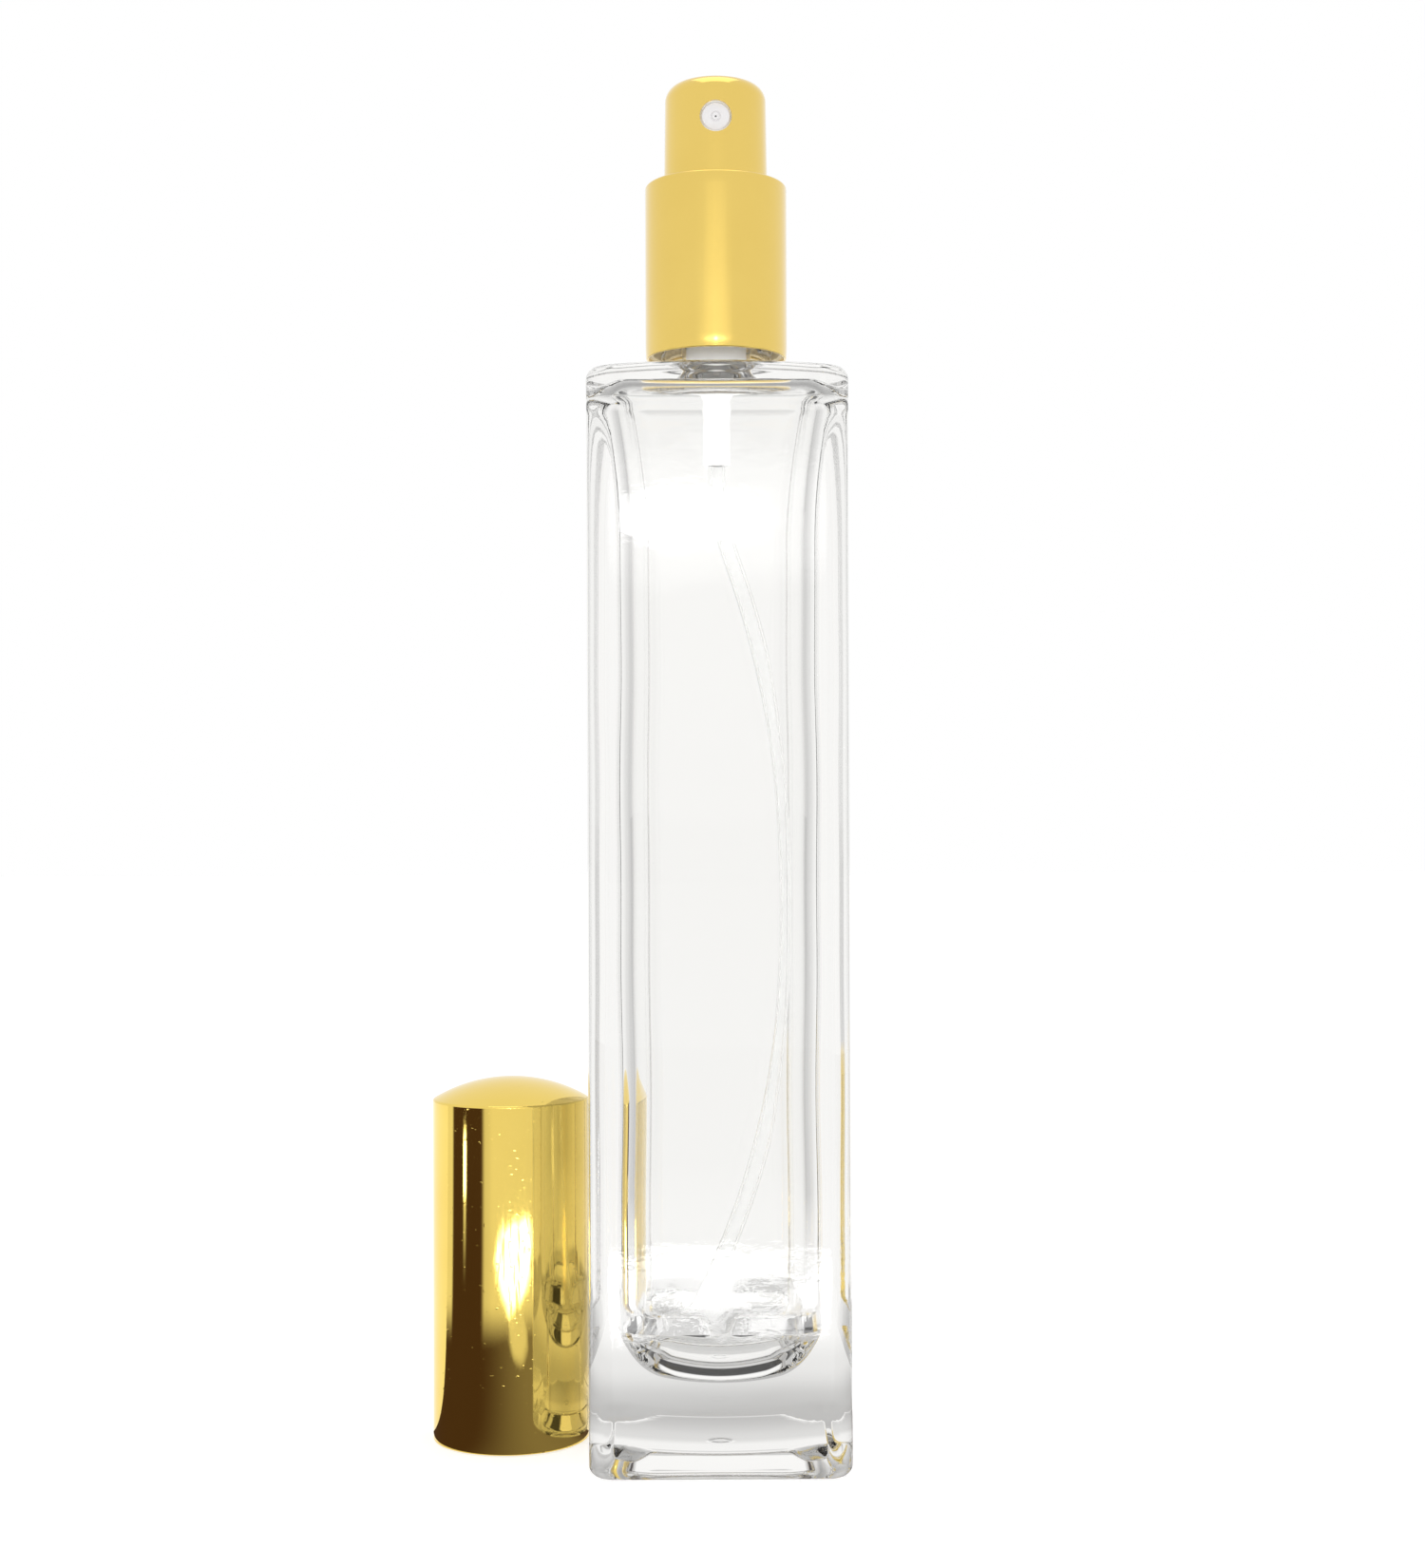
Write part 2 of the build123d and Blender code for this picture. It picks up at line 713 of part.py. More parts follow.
with BuildPart() as cap_liner:
    liner_top = cap_liner_bottom + cap_liner_depth
    with BuildSketch(cap_plane):
        with BuildLine():
            Polyline(
                (cap_grip_radius, cap_liner_bottom),
                (cap_liner_radius, cap_liner_bottom),
                (cap_liner_radius, liner_top + cap_liner_roof),
                (0, liner_top + cap_liner_roof),
                (0, liner_top),
                (cap_grip_radius, liner_top),
                close=True,
            )
        make_face()
    revolve(axis=cap_axis)
    chamfer(cap_liner.edges().group_by(Axis.Z)[0].sort_by(SortBy.RADIUS)[0], small_chamfer)

# ---- Export -------------------------------------------------------------------------------

pieces = {
    "glass_bottle": glass_bottle,
    "neck_gasket": neck_gasket,
    "screw_closure": screw_closure,
    "collar_shell": collar_shell,
    "pump_housing": pump_housing,
    "pump_retainer": pump_retainer,
    "stem_seal": stem_seal,
    "spring_seat": spring_seat,
    "inlet_ball": inlet_ball,
    "return_spring": return_spring,
    "valve_pin": valve_pin,
    "upper_stem": upper_stem,
    "piston": piston,
    "precompression_spring": precompression_spring,
    "dip_tube": dip_tube,
    "actuator_core": actuator_core,
    "actuator_shell": actuator_shell,
    "nozzle_insert": nozzle_insert,
    "cap_shell": cap_shell,
    "cap_liner": cap_liner,
}

os.makedirs("parts", exist_ok=True)
for name, piece in pieces.items():
    piece.part.label = name
    export_step(piece.part, f"parts/{name}.step")
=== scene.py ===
import math
import bpy
from mathutils import Euler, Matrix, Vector


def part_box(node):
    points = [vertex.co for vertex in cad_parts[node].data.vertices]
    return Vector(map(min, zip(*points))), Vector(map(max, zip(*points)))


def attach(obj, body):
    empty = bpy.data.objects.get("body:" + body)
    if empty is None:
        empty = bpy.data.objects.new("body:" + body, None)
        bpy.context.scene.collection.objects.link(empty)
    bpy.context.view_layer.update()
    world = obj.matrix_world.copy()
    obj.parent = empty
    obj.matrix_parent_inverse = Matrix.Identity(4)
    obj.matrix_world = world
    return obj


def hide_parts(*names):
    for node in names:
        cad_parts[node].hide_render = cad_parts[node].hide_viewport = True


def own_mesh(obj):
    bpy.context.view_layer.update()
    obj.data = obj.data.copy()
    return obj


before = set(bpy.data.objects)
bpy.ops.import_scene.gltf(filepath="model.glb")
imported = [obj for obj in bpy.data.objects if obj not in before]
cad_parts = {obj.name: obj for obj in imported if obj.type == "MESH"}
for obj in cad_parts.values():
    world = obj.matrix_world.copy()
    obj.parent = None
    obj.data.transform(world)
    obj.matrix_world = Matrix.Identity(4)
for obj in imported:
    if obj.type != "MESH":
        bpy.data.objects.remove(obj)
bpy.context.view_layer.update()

# Aftershave bottle: clear glass, satin gold sprayer, polished gold overcap. Lengths are in
# millimetres until a mesh is made, then in metres.
MM = 0.001


# ---- The frame ------------------------------------------------------------------------------

def box_mm(node):
    """Lowest and highest corner of a CAD node, in millimetres."""
    low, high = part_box(node)
    return low / MM, high / MM


# ---- Sizes of the glass ---------------------------------------------------------------------

_, GLASS_HIGH = box_mm("glass_bottle")
HALF = GLASS_HIGH.x
NECK_TOP = GLASS_HIGH.z
SHOULDER_HEIGHT = NECK_TOP - 15.2
SHOULDER_CROWN = 0.9
SHOULDER_EDGE = 1.7
BODY_CORNER = 3.5
HEEL = 1.6
WALL_START = 6.0
WALL_END = SHOULDER_HEIGHT - 8.0

# The recess in the base: its roof rises to its edges and falls away in its corners
RECESS_HALF = 15.5
RECESS_CORNER = 5.0
RECESS_DEPTH = 2.8
RECESS_SLOPE = math.radians(15.0)
RECESS_SOFT = 0.3
RECESS_ROOF = 2.45
RECESS_RIM_RISE = 0.85
RECESS_CORNER_DROP = 1.5
# The drop starts where x times y is this share of the roof's half width squared, and is full a span on
RECESS_CORNER_FROM = 0.6
RECESS_CORNER_SPAN = 0.2
FOOT_BEVEL = 0.12
# The small ring that hangs from the roof: radius, how far it hangs down
MOULD_RING = ((0.4, 0), (0.9, 0), (1.1, 0.03), (1.3, 0.13), (1.5, 0.13), (1.7, 0.03), (1.9, 0), (2.4, 0))

# The hollow: a rounded square with a dished floor, which widens towards the shoulder
CAVITY_HALF = HALF - 4.0
CAVITY_CORNER = 6.5
CAVITY_FLOOR = 11.0
CAVITY_DISH = 42.0
CAVITY_DISH_REACH = 15.0
CAVITY_FLOOR_FILLET = 6.2
CAVITY_FOOT_CORNER = 0.6
CAVITY_FOOT_ROUNDING = 0.8
# Unevenness of the blown wall: how far it swells, and its wavelength over two pi
WALL_SWELLS = ((0.10, 11.0), (0.07, 4.7))
# The unevenness fades in over these heights below the flare and above the rounded foot
CALM_BELOW_FLARE = 20
CALM_ABOVE_FOOT = 12
FLARE_START = 128.0
FLARE_HALF = 16.2
FLARE_CORNER = 4.6
CEILING = SHOULDER_HEIGHT - 2.2
CEILING_FILLET = 3.0
THROAT_RADIUS = 7.0
THROAT_DEPTH = 2.2

# The neck and its thread
NECK_RADIUS = 7.9
NECK_BORE = 4.95
NECK_ROOT = 1.6
LIP_ROUND = 0.5
THREAD_PITCH = 3.175
THREAD_CREST = 8.85
THREAD_BASE_WIDTH = 1.5
THREAD_CREST_WIDTH = 0.8
THREAD_START = NECK_TOP - 10.2
THREAD_TURNS = 2.0
THREAD_FADE_TURNS = 0.06


# ---- Mesh helpers ---------------------------------------------------------------------------

def add_mesh(name, points, faces, material):
    """A smooth-shaded mesh object from points in millimetres."""
    mesh = bpy.data.meshes.new(name)
    mesh.from_pydata([Vector(p) * MM for p in points], [], faces)
    mesh.materials.append(material)
    mesh.polygons.foreach_set("use_smooth", [True] * len(mesh.polygons))
    mesh.update()
    obj = bpy.data.objects.new(name, mesh)
    bpy.context.scene.collection.objects.link(obj)
    return obj


def join_rings(rings):
    """Points and faces of a skin over rings of equal length; each end closes on its middle."""
    count = len(rings[0])
    points = [p for ring in rings for p in ring]
    faces = []
    for i in range(len(rings) - 1):
        for k in range(count):
            a = i * count + k
            b = i * count + (k + 1) % count
            faces.append((a, b, b + count, a + count))
    for start, turn in ((0, -1), ((len(rings) - 1) * count, 1)):
        ring = points[start:start + count]
        middle = sum((Vector(p) for p in ring), Vector()) / count
        points.append(tuple(middle))
        for k in range(count):
            pair = (start + k, start + (k + 1) % count)
            faces.append((*pair[::turn], len(points) - 1))
    return points, faces


def arc(centre, radius, start, end, steps):
    """Points of a circular arc in a profile plane, angles in degrees, both ends included."""
    return [
        (
            centre[0] + radius * math.cos(math.radians(start + (end - start) * i / steps)),
            centre[1] + radius * math.sin(math.radians(start + (end - start) * i / steps)),
        )
        for i in range(steps + 1)
    ]


def sagitta(radius, reach):
    """Depth of an arc of this radius at a distance from its crown."""
    return radius - math.sqrt(radius**2 - reach**2)


def spread(low, high, steps):
    """Evenly spaced values from low to high, both included."""
    return [low + (high - low) * i / steps for i in range(steps + 1)]


# ---- Glass ----------------------------------------------------------------------------------

SIDE_STEPS = 24
CORNER_STEPS = 10


def square_ring(half, corner):
    """Plan points of a rounded square, anticlockwise seen from above."""
    ring = []
    for turn in range(4):
        centre = Vector((half - corner, half - corner))
        quarter = [centre + Vector((corner, 0))]
        for p in arc((0, 0), corner, 0, 90, CORNER_STEPS)[1:]:
            quarter.append(centre + Vector(p))
        last = quarter[-1]
        for i in range(1, SIDE_STEPS):
            quarter.append(Vector((last.x - 2 * (half - corner) * i / SIDE_STEPS, half)))
        for p in quarter:
            angle = math.radians(90 * turn)
            ring.append(Vector((
                p.x * math.cos(angle) - p.y * math.sin(angle),
                p.x * math.sin(angle) + p.y * math.cos(angle),
            )))
    return ring


# A circle of radius 1 with as many points as a rounded square, in the same directions
CIRCLE = [p.normalized() for p in square_ring(10.0, 5.0)]


def level_ring(plan, height):
    """Plan points at one height."""
    return [(p.x, p.y, height) for p in plan]


def circle_ring(radius, height):
    """A circle at one height, with as many points as a rounded square."""
    return [(p.x * radius, p.y * radius, height) for p in CIRCLE]


def between(plan, radius, part_way):
    """Plan points part of the way from a rounded square to a circle."""
    return [p.lerp(c * radius, part_way) for p, c in zip(plan, CIRCLE)]


def thread_height(angle, height):
    """How far the neck thread stands out of the neck at an angle and a height."""
    tallest = 0.0
    for turn in range(-1, int(THREAD_TURNS) + 1):
        along = angle / (2 * math.pi) + turn
        if not 0 <= along <= THREAD_TURNS:
            continue
        fade = min(1.0, along / THREAD_FADE_TURNS, (THREAD_TURNS - along) / THREAD_FADE_TURNS)
        off = abs(height - THREAD_START - THREAD_PITCH * along)
        flank = (THREAD_BASE_WIDTH / 2 - off) / ((THREAD_BASE_WIDTH - THREAD_CREST_WIDTH) / 2)
        tallest = max(tallest, fade * min(1.0, max(0.0, flank)))
    return tallest * (THREAD_CREST - NECK_RADIUS)


def outer_rings():
    """Outside of the glass, from the middle of the base up to the lip."""
    rings = []
    roof_half = RECESS_HALF - RECESS_DEPTH * math.tan(RECESS_SLOPE)
    roof_corner = RECESS_CORNER - (RECESS_HALF - roof_half)
    ring_reach = MOULD_RING[-1][0]

    def roof(p):
        """Height of the recess's roof at a plan point."""
        rise = RECESS_RIM_RISE * (p.length / roof_half)**2
        into_corner = (abs(p.x * p.y) / roof_half**2 - RECESS_CORNER_FROM) / RECESS_CORNER_SPAN
        into_corner = min(1.0, max(0.0, into_corner))
        return RECESS_ROOF + rise - RECESS_CORNER_DROP * into_corner**2 * (3 - 2 * into_corner)

    # Roof of the recess, its rounded edge and its sloping wall
    for radius, drop in MOULD_RING:
        rings.append([(c.x * radius, c.y * radius, roof(c * radius) - drop) for c in CIRCLE])
    for part_way in spread(0.06, 1.0, 14):
        half = ring_reach + (roof_half - RECESS_SOFT - ring_reach) * part_way
        plan = between(square_ring(half, half * roof_corner / roof_half), half, 1 - part_way)
        rings.append([(p.x, p.y, roof(p)) for p in plan])
    edge = square_ring(roof_half - RECESS_SOFT, roof_corner - RECESS_SOFT)
    foot = square_ring(RECESS_HALF, RECESS_CORNER)
    for turn in spread(15, 90, 5):
        outward = RECESS_SOFT * math.sin(math.radians(turn))
        drop = RECESS_SOFT * (1 - math.cos(math.radians(turn)))
        plan = square_ring(roof_half - RECESS_SOFT + outward, roof_corner - RECESS_SOFT + outward)
        rings.append([(p.x, p.y, roof(e) - drop) for p, e in zip(plan, edge)])
    for part_way in (0.5, 0.85):
        plan = [w.lerp(f, part_way) for w, f in zip(square_ring(roof_half, roof_corner), foot)]
        rings.append([(p.x, p.y, (roof(e) - RECESS_SOFT) * (1 - part_way)) for p, e in zip(plan, edge)])
    rings.append(level_ring(foot, FOOT_BEVEL))
    rings.append(level_ring(square_ring(RECESS_HALF + FOOT_BEVEL, RECESS_CORNER), 0.0))
    # Bearing ring and heel
    for x, z in arc((HALF - HEEL, HEEL), HEEL, -90, 0, 10):
        rings.append(level_ring(square_ring(x, BODY_CORNER - (HALF - x)), z))
    # Walls
    for height in spread(WALL_START, WALL_END, 24):
        rings.append(level_ring(square_ring(HALF, BODY_CORNER), height))
    # Shoulder
    dome_radius = (HALF**2 + SHOULDER_CROWN**2) / (2 * SHOULDER_CROWN)

    def dome(reach):
        """Height of the domed shoulder at a distance from the axis."""
        return SHOULDER_HEIGHT + SHOULDER_CROWN - sagitta(dome_radius, reach)

    for x, z in arc((HALF - SHOULDER_EDGE, -SHOULDER_EDGE), SHOULDER_EDGE, 0, 86, 10):
        plan = square_ring(x, BODY_CORNER - (HALF - x))
        rings.append([(p.x, p.y, dome(p.length) + z) for p in plan])
    edge = square_ring(HALF - SHOULDER_EDGE, BODY_CORNER - SHOULDER_EDGE)
    root_radius = NECK_RADIUS + NECK_ROOT
    for part_way in spread(0.15, 1.0, 9):
        plan = between(edge, root_radius, part_way)
        rings.append([(p.x, p.y, dome(p.length)) for p in plan])
    # Neck root, threaded neck and lip
    for r, z in arc((root_radius, dome(root_radius) + NECK_ROOT), NECK_ROOT, 262, 180, 6):
        rings.append(circle_ring(r, z))
    thread_low = THREAD_START - THREAD_BASE_WIDTH
    thread_high = THREAD_START + THREAD_TURNS * THREAD_PITCH + THREAD_BASE_WIDTH
    for height in spread(thread_low, thread_high, 60):
        ring = []
        for c in CIRCLE:
            angle = math.atan2(c.y, c.x) % (2 * math.pi)
            ring.append((*(c * (NECK_RADIUS + thread_height(angle, height))), height))
        rings.append(ring)
    for r, z in arc((NECK_RADIUS - LIP_ROUND, NECK_TOP - LIP_ROUND), LIP_ROUND, 0, 90, 4):
        rings.append(circle_ring(r, z))
    return rings


def inner_rings():
    """Inside of the glass, from the lip down to the middle of the floor."""
    rings = []
    for r, z in arc((NECK_BORE + LIP_ROUND, NECK_TOP - LIP_ROUND), LIP_ROUND, 90, 180, 4):
        rings.append(circle_ring(r, z))
    for height in spread(NECK_TOP - 3.0, CEILING + THROAT_DEPTH + 0.3, 5):
        rings.append(circle_ring(NECK_BORE, height))
    for part_way in spread(0.08, 1.0, 4):
        radius = NECK_BORE + (THROAT_RADIUS - NECK_BORE) * part_way
        rings.append(circle_ring(radius, CEILING + THROAT_DEPTH * (1 - part_way)))
    # Ceiling and its rounded edge
    ceiling_half = FLARE_HALF - CEILING_FILLET
    ceiling_plan = square_ring(ceiling_half, FLARE_CORNER - CEILING_FILLET)
    for part_way in spread(0.9, 0.1, 6):
        rings.append(level_ring(between(ceiling_plan, THROAT_RADIUS, part_way), CEILING))
    for x, z in arc((ceiling_half, CEILING - CEILING_FILLET), CEILING_FILLET, 90, 6, 12):
        rings.append(level_ring(square_ring(x, FLARE_CORNER - (FLARE_HALF - x)), z))
    # Flared walls
    rise = CEILING - FLARE_START
    side = FLARE_HALF - CAVITY_HALF
    flare_radius = (rise**2 + side**2) / (2 * side)
    for height in spread(CEILING - CEILING_FILLET - 0.5, FLARE_START, 16):
        half = CAVITY_HALF + sagitta(flare_radius, height - FLARE_START)
        part_way = (height - FLARE_START) / rise
        corner = CAVITY_CORNER + part_way * (FLARE_CORNER - CAVITY_CORNER)
        rings.append(level_ring(square_ring(half, corner), height))
    # Straight walls, a little uneven as blown glass is
    wall_foot = CAVITY_FLOOR + CAVITY_FLOOR_FILLET + 2.0
    for height in spread(FLARE_START - 4.0, wall_foot, 26):
        calm = min(
            1.0, (FLARE_START - height) / CALM_BELOW_FLARE, (height - wall_foot) / CALM_ABOVE_FOOT
        )
        swell = calm * sum(size * math.sin(height / wave) for size, wave in WALL_SWELLS)
        rings.append(level_ring(square_ring(CAVITY_HALF + swell, CAVITY_CORNER), height))
    # Rounded foot and dished floor, rounder in plan the lower it gets
    fillet = CAVITY_FLOOR_FILLET

    def floor_height(reach):
        """Height of the dished floor at a distance from the axis."""
        return CAVITY_FLOOR + sagitta(CAVITY_DISH, min(reach, CAVITY_DISH_REACH))

    for turn in spread(4, 84, 16):
        x = CAVITY_HALF - fillet * (1 - math.cos(math.radians(turn)))
        rise = fillet * (1 - math.sin(math.radians(turn)))
        corner = max(CAVITY_CORNER - (CAVITY_HALF - x), CAVITY_FOOT_CORNER)
        rounding = CAVITY_FOOT_ROUNDING * (turn / 90)**2
        plan = between(square_ring(x, corner), x + CAVITY_FOOT_CORNER, rounding)
        rings.append([(p.x, p.y, floor_height(p.length) + rise) for p in plan])
    half = CAVITY_HALF - fillet
    foot = between(
        square_ring(half, CAVITY_FOOT_CORNER), half + CAVITY_FOOT_CORNER, CAVITY_FOOT_ROUNDING
    )
    for part_way in spread(0.06, 0.94, 12):
        plan = [p * (1 - part_way) for p in foot]
        rings.append([(p.x, p.y, floor_height(p.length)) for p in plan])
    return rings


def make_bottle(material):
    """The glass as one closed skin: up the outside, over the lip and down the inside."""
    points, faces = join_rings(outer_rings() + inner_rings())
    bottle = add_mesh("bottle_glass", points, faces, material)
    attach(bottle, "bottle")
    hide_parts("glass_bottle")


# ---- Collar ---------------------------------------------------------------------------------

COLLAR_WALL = 0.4
COLLAR_BORE_GAP = 0.02
COLLAR_MOUTH = 7.8
COLLAR_TOP_ROUND = 0.45
COLLAR_TOP_FLAT_END = 8.05
COLLAR_INNER_BEVEL = 0.3
COLLAR_DRAW_IN = 0.1
COLLAR_DRAWN_HEIGHT = 2.0
COLLAR_STEPS = 144


def turned(profile, steps):
    """Points and faces of a closed profile turned about the upright axis."""
    points, faces = [], []
    count = len(profile)
    for k in range(steps):
        angle = 2 * math.pi * k / steps
        points += [(r * math.cos(angle), r * math.sin(angle), z) for r, z in profile]
        start, following = k * count, (k + 1) % steps * count
        for i in range(count):
            j = (i + 1) % count
            faces.append((start + i, following + i, following + j, start + j))
    return points, faces


def make_collar(material):
    """The sleeve round the sprayer, drawn in a little towards its rolled lower rim."""
    low, high = box_mm("collar_shell")
    radius, bottom, top = high.x, low.z, high.z
    rim = COLLAR_WALL / 2
    rim_middle = radius - COLLAR_DRAW_IN - rim
    profile = arc((rim_middle, bottom + rim), rim, -180, -6, 12)
    for part_way in spread(0.0, 1.0, 14):
        height = bottom + rim + (COLLAR_DRAWN_HEIGHT - rim) * part_way
        profile.append((radius - COLLAR_DRAW_IN * (1 - part_way)**2, height))
    for height in spread(bottom + 4.0, top - 2.0, 8):
        profile.append((radius, height))
    profile += arc((radius - COLLAR_TOP_ROUND, top - COLLAR_TOP_ROUND), COLLAR_TOP_ROUND, 0, 90, 8)
    flat_start = radius - COLLAR_TOP_ROUND
    for part_way in spread(0.1, 0.9, 6):
        profile.append((flat_start + (COLLAR_TOP_FLAT_END - flat_start) * part_way, top))
    profile += arc((COLLAR_MOUTH + rim, top - rim), rim, 90, 270, 10)
    inner = radius - COLLAR_WALL - COLLAR_BORE_GAP
    ceiling = top - COLLAR_WALL
    profile += [(inner - COLLAR_INNER_BEVEL, ceiling), (inner, ceiling - COLLAR_INNER_BEVEL)]
    for height in spread(top - 2.0, bottom + 3.0, 6):
        profile.append((inner, height))
    points, faces = turned(profile, COLLAR_STEPS)
    collar = add_mesh("collar_sleeve", points, faces, material)
    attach(collar, "closure")
    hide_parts("collar_shell")


# ---- Springs --------------------------------------------------------------------------------

WIRE_STEPS = 12
TURN_STEPS = 40
RETURN_WIRE = 0.35
RETURN_TURNS = 5
PRECOMPRESSION_WIRE = 0.3
PRECOMPRESSION_TURNS = 4


def make_spring(node, name, body, wire, turns, material):
    """A round-wire coil spring that fills the CAD node's height, on its own copy of its mesh."""
    low, high = box_mm(node)
    coil_radius = high.x - wire / 2
    pitch = (high.z - low.z - wire) / turns
    climb = pitch / (2 * math.pi)
    rings = []
    for angle in spread(0.0, 2 * math.pi * turns, turns * TURN_STEPS):
        outward = Vector((math.cos(angle), math.sin(angle), 0.0))
        along = Vector((-math.sin(angle), math.cos(angle), climb / coil_radius)).normalized()
        across = along.cross(outward)
        middle = outward * coil_radius + Vector((0, 0, low.z + wire / 2 + climb * angle))
        rings.append([
            tuple(middle + outward * (wire / 2 * math.cos(a)) + across * (wire / 2 * math.sin(a)))
            for a in spread(0.0, 2 * math.pi, WIRE_STEPS)[:-1]
        ])
    points, faces = join_rings(rings)
    spring = add_mesh(name, points, faces, material)
    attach(spring, body)
    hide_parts(node)
    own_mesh(spring)


# ---- Materials ------------------------------------------------------------------------------

def new_material(name):
    """A material, its node tree and its surface shader."""
    material = bpy.data.materials.new(name)
    material.use_nodes = True
    tree = material.node_tree
    return material, tree, tree.nodes["Principled BSDF"]


def noise(tree, scale, detail=2.0, roughness=0.5, stretch=(1, 1, 1)):
    """Noise over the object's own coordinates, in metres."""
    where = tree.nodes.new("ShaderNodeTexCoord")
    mapping = tree.nodes.new("ShaderNodeMapping")
    mapping.inputs["Scale"].default_value = stretch
    texture = tree.nodes.new("ShaderNodeTexNoise")
    texture.inputs["Scale"].default_value = scale
    texture.inputs["Detail"].default_value = detail
    texture.inputs["Roughness"].default_value = roughness
    tree.links.new(where.outputs["Object"], mapping.inputs["Vector"])
    tree.links.new(mapping.outputs["Vector"], texture.inputs["Vector"])
    return texture.outputs["Fac"]


def remap(tree, value, low, high, from_low=0.3, from_high=0.7):
    """A value moved from one range to another, held at its ends; noise lies in 0.3 to 0.7."""
    node = tree.nodes.new("ShaderNodeMapRange")
    node.inputs["From Min"].default_value = from_low
    node.inputs["From Max"].default_value = from_high
    node.inputs["To Min"].default_value = low
    node.inputs["To Max"].default_value = high
    tree.links.new(value, node.inputs["Value"])
    return node.outputs["Result"]


def mix_colours(tree, value, first, second):
    """The first colour where the value is 0, the second where it is 1."""
    node = tree.nodes.new("ShaderNodeMix")
    node.data_type = "RGBA"
    node.inputs["A"].default_value = (*first, 1)
    node.inputs["B"].default_value = (*second, 1)
    tree.links.new(value, node.inputs["Factor"])
    return node.outputs["Result"]


def bump(tree, value, distance):
    """A normal for relief as deep as this distance, in metres."""
    node = tree.nodes.new("ShaderNodeBump")
    node.inputs["Strength"].default_value = 1.0
    node.inputs["Distance"].default_value = distance
    tree.links.new(value, node.inputs["Height"])
    return node.outputs["Normal"]


def ramp(tree, value, stops):
    """A colour ramp of greys over a value; stops are (position, grey)."""
    node = tree.nodes.new("ShaderNodeValToRGB")
    node.color_ramp.interpolation = "EASE"
    elements = node.color_ramp.elements
    while len(elements) < len(stops):
        elements.new(0.5)
    for element, (position, grey) in zip(elements, stops):
        element.position = position
        element.color = (grey, grey, grey, 1)
    tree.links.new(value, node.inputs["Fac"])
    return node.outputs["Color"]


def maths(tree, operation, first, second=None):
    """One maths node; its inputs are numbers or other nodes' outputs."""
    node = tree.nodes.new("ShaderNodeMath")
    node.operation = operation
    for socket, value in zip(node.inputs, (first, second)):
        if value is None:
            continue
        if isinstance(value, (int, float)):
            socket.default_value = value
        else:
            tree.links.new(value, socket)
    return node.outputs["Value"]


def blend_values(tree, part_way, first, second):
    """The first value where part_way is 0, the second where it is 1."""
    return maths(
        tree, "ADD", maths(tree, "MULTIPLY", first, maths(tree, "SUBTRACT", 1.0, part_way)),
        maths(tree, "MULTIPLY", second, part_way),
    )


def coordinates(tree, space="Object"):
    """Coordinates as separate values; the object's own are in metres."""
    where = tree.nodes.new("ShaderNodeTexCoord")
    split = tree.nodes.new("ShaderNodeSeparateXYZ")
    tree.links.new(where.outputs[space], split.inputs["Vector"])
    return split.outputs["X"], split.outputs["Y"], split.outputs["Z"]


def sum_of_squares(tree, first, second):
    """The squares of two values, added."""
    return maths(tree, "ADD", *(maths(tree, "MULTIPLY", value, value) for value in (first, second)))


def glowing_surface(name):
    """A material with one emission shader, its node tree and that shader."""
    material = bpy.data.materials.new(name)
    material.use_nodes = True
    tree = material.node_tree
    tree.nodes.clear()
    glow = tree.nodes.new("ShaderNodeEmission")
    out = tree.nodes.new("ShaderNodeOutputMaterial")
    tree.links.new(glow.outputs["Emission"], out.inputs["Surface"])
    return material, tree, glow


GLASS_COLOUR = (0.984, 0.985, 0.98)
GLASS_IOR = 1.5
# Depth of the relief in metres
GLASS_RELIEF = 0.00002
# Depth of the ripples by height, as a share of the glass's height
RIPPLED = [
    (0.09, 0.0), (0.13, 1.0), (0.165, 1.0), (0.22, 0.0),
    (0.7, 0.0), (0.78, 0.3), (0.86, 0.3), (0.92, 0.0),
]


def glass_material():
    """Clear moulded glass with faint waves and, in two bands, fine ripples in its surface."""
    material, tree, shader = new_material("clear_glass")
    shader.inputs["Base Color"].default_value = (*GLASS_COLOUR, 1)
    shader.inputs["Transmission Weight"].default_value = 1.0
    shader.inputs["IOR"].default_value = GLASS_IOR
    shader.inputs["Roughness"].default_value = 0.0
    waves = noise(tree, 60.0, 1.0, 0.4, (1, 1, 0.3))
    # Ripples where the blown wall cooled against the mould: above the base and under the shoulder
    _, _, height = coordinates(tree)
    bands = ramp(tree, maths(tree, "DIVIDE", height, NECK_TOP * MM), RIPPLED)
    ripples = maths(tree, "MULTIPLY", noise(tree, 450.0, 3.0, 0.6, (1, 1, 1.4)), bands)
    relief = maths(tree, "ADD", waves, ripples)
    tree.links.new(bump(tree, relief, GLASS_RELIEF), shader.inputs["Normal"])
    return material


def gold_material(name, colour, deep, rough_low, rough_high, grain, lacquer):
    """Gold-coloured aluminium: slight drift of tone, fine grain and specks, under clear lacquer."""
    material, tree, shader = new_material(name)
    shader.inputs["Metallic"].default_value = 1.0
    shader.inputs["Coat Weight"].default_value = lacquer
    shader.inputs["Coat Roughness"].default_value = 0.1
    drift = noise(tree, 90.0, 3.0)
    tree.links.new(mix_colours(tree, remap(tree, drift, 0, 1), colour, deep), shader.inputs["Base Color"])
    fine = noise(tree, 2500.0, 2.0)
    tree.links.new(remap(tree, fine, rough_low, rough_high), shader.inputs["Roughness"])
    # Only the highest peaks of this noise stand out, as sparse specks
    specks = remap(tree, noise(tree, 1100.0, 1.0, 0.5, (1, 1, 1.6)), 0, 1, 0.7, 0.76)
    relief = maths(tree, "ADD", maths(tree, "MULTIPLY", fine, 0.05), specks)
    tree.links.new(bump(tree, relief, grain), shader.inputs["Normal"])
    return material


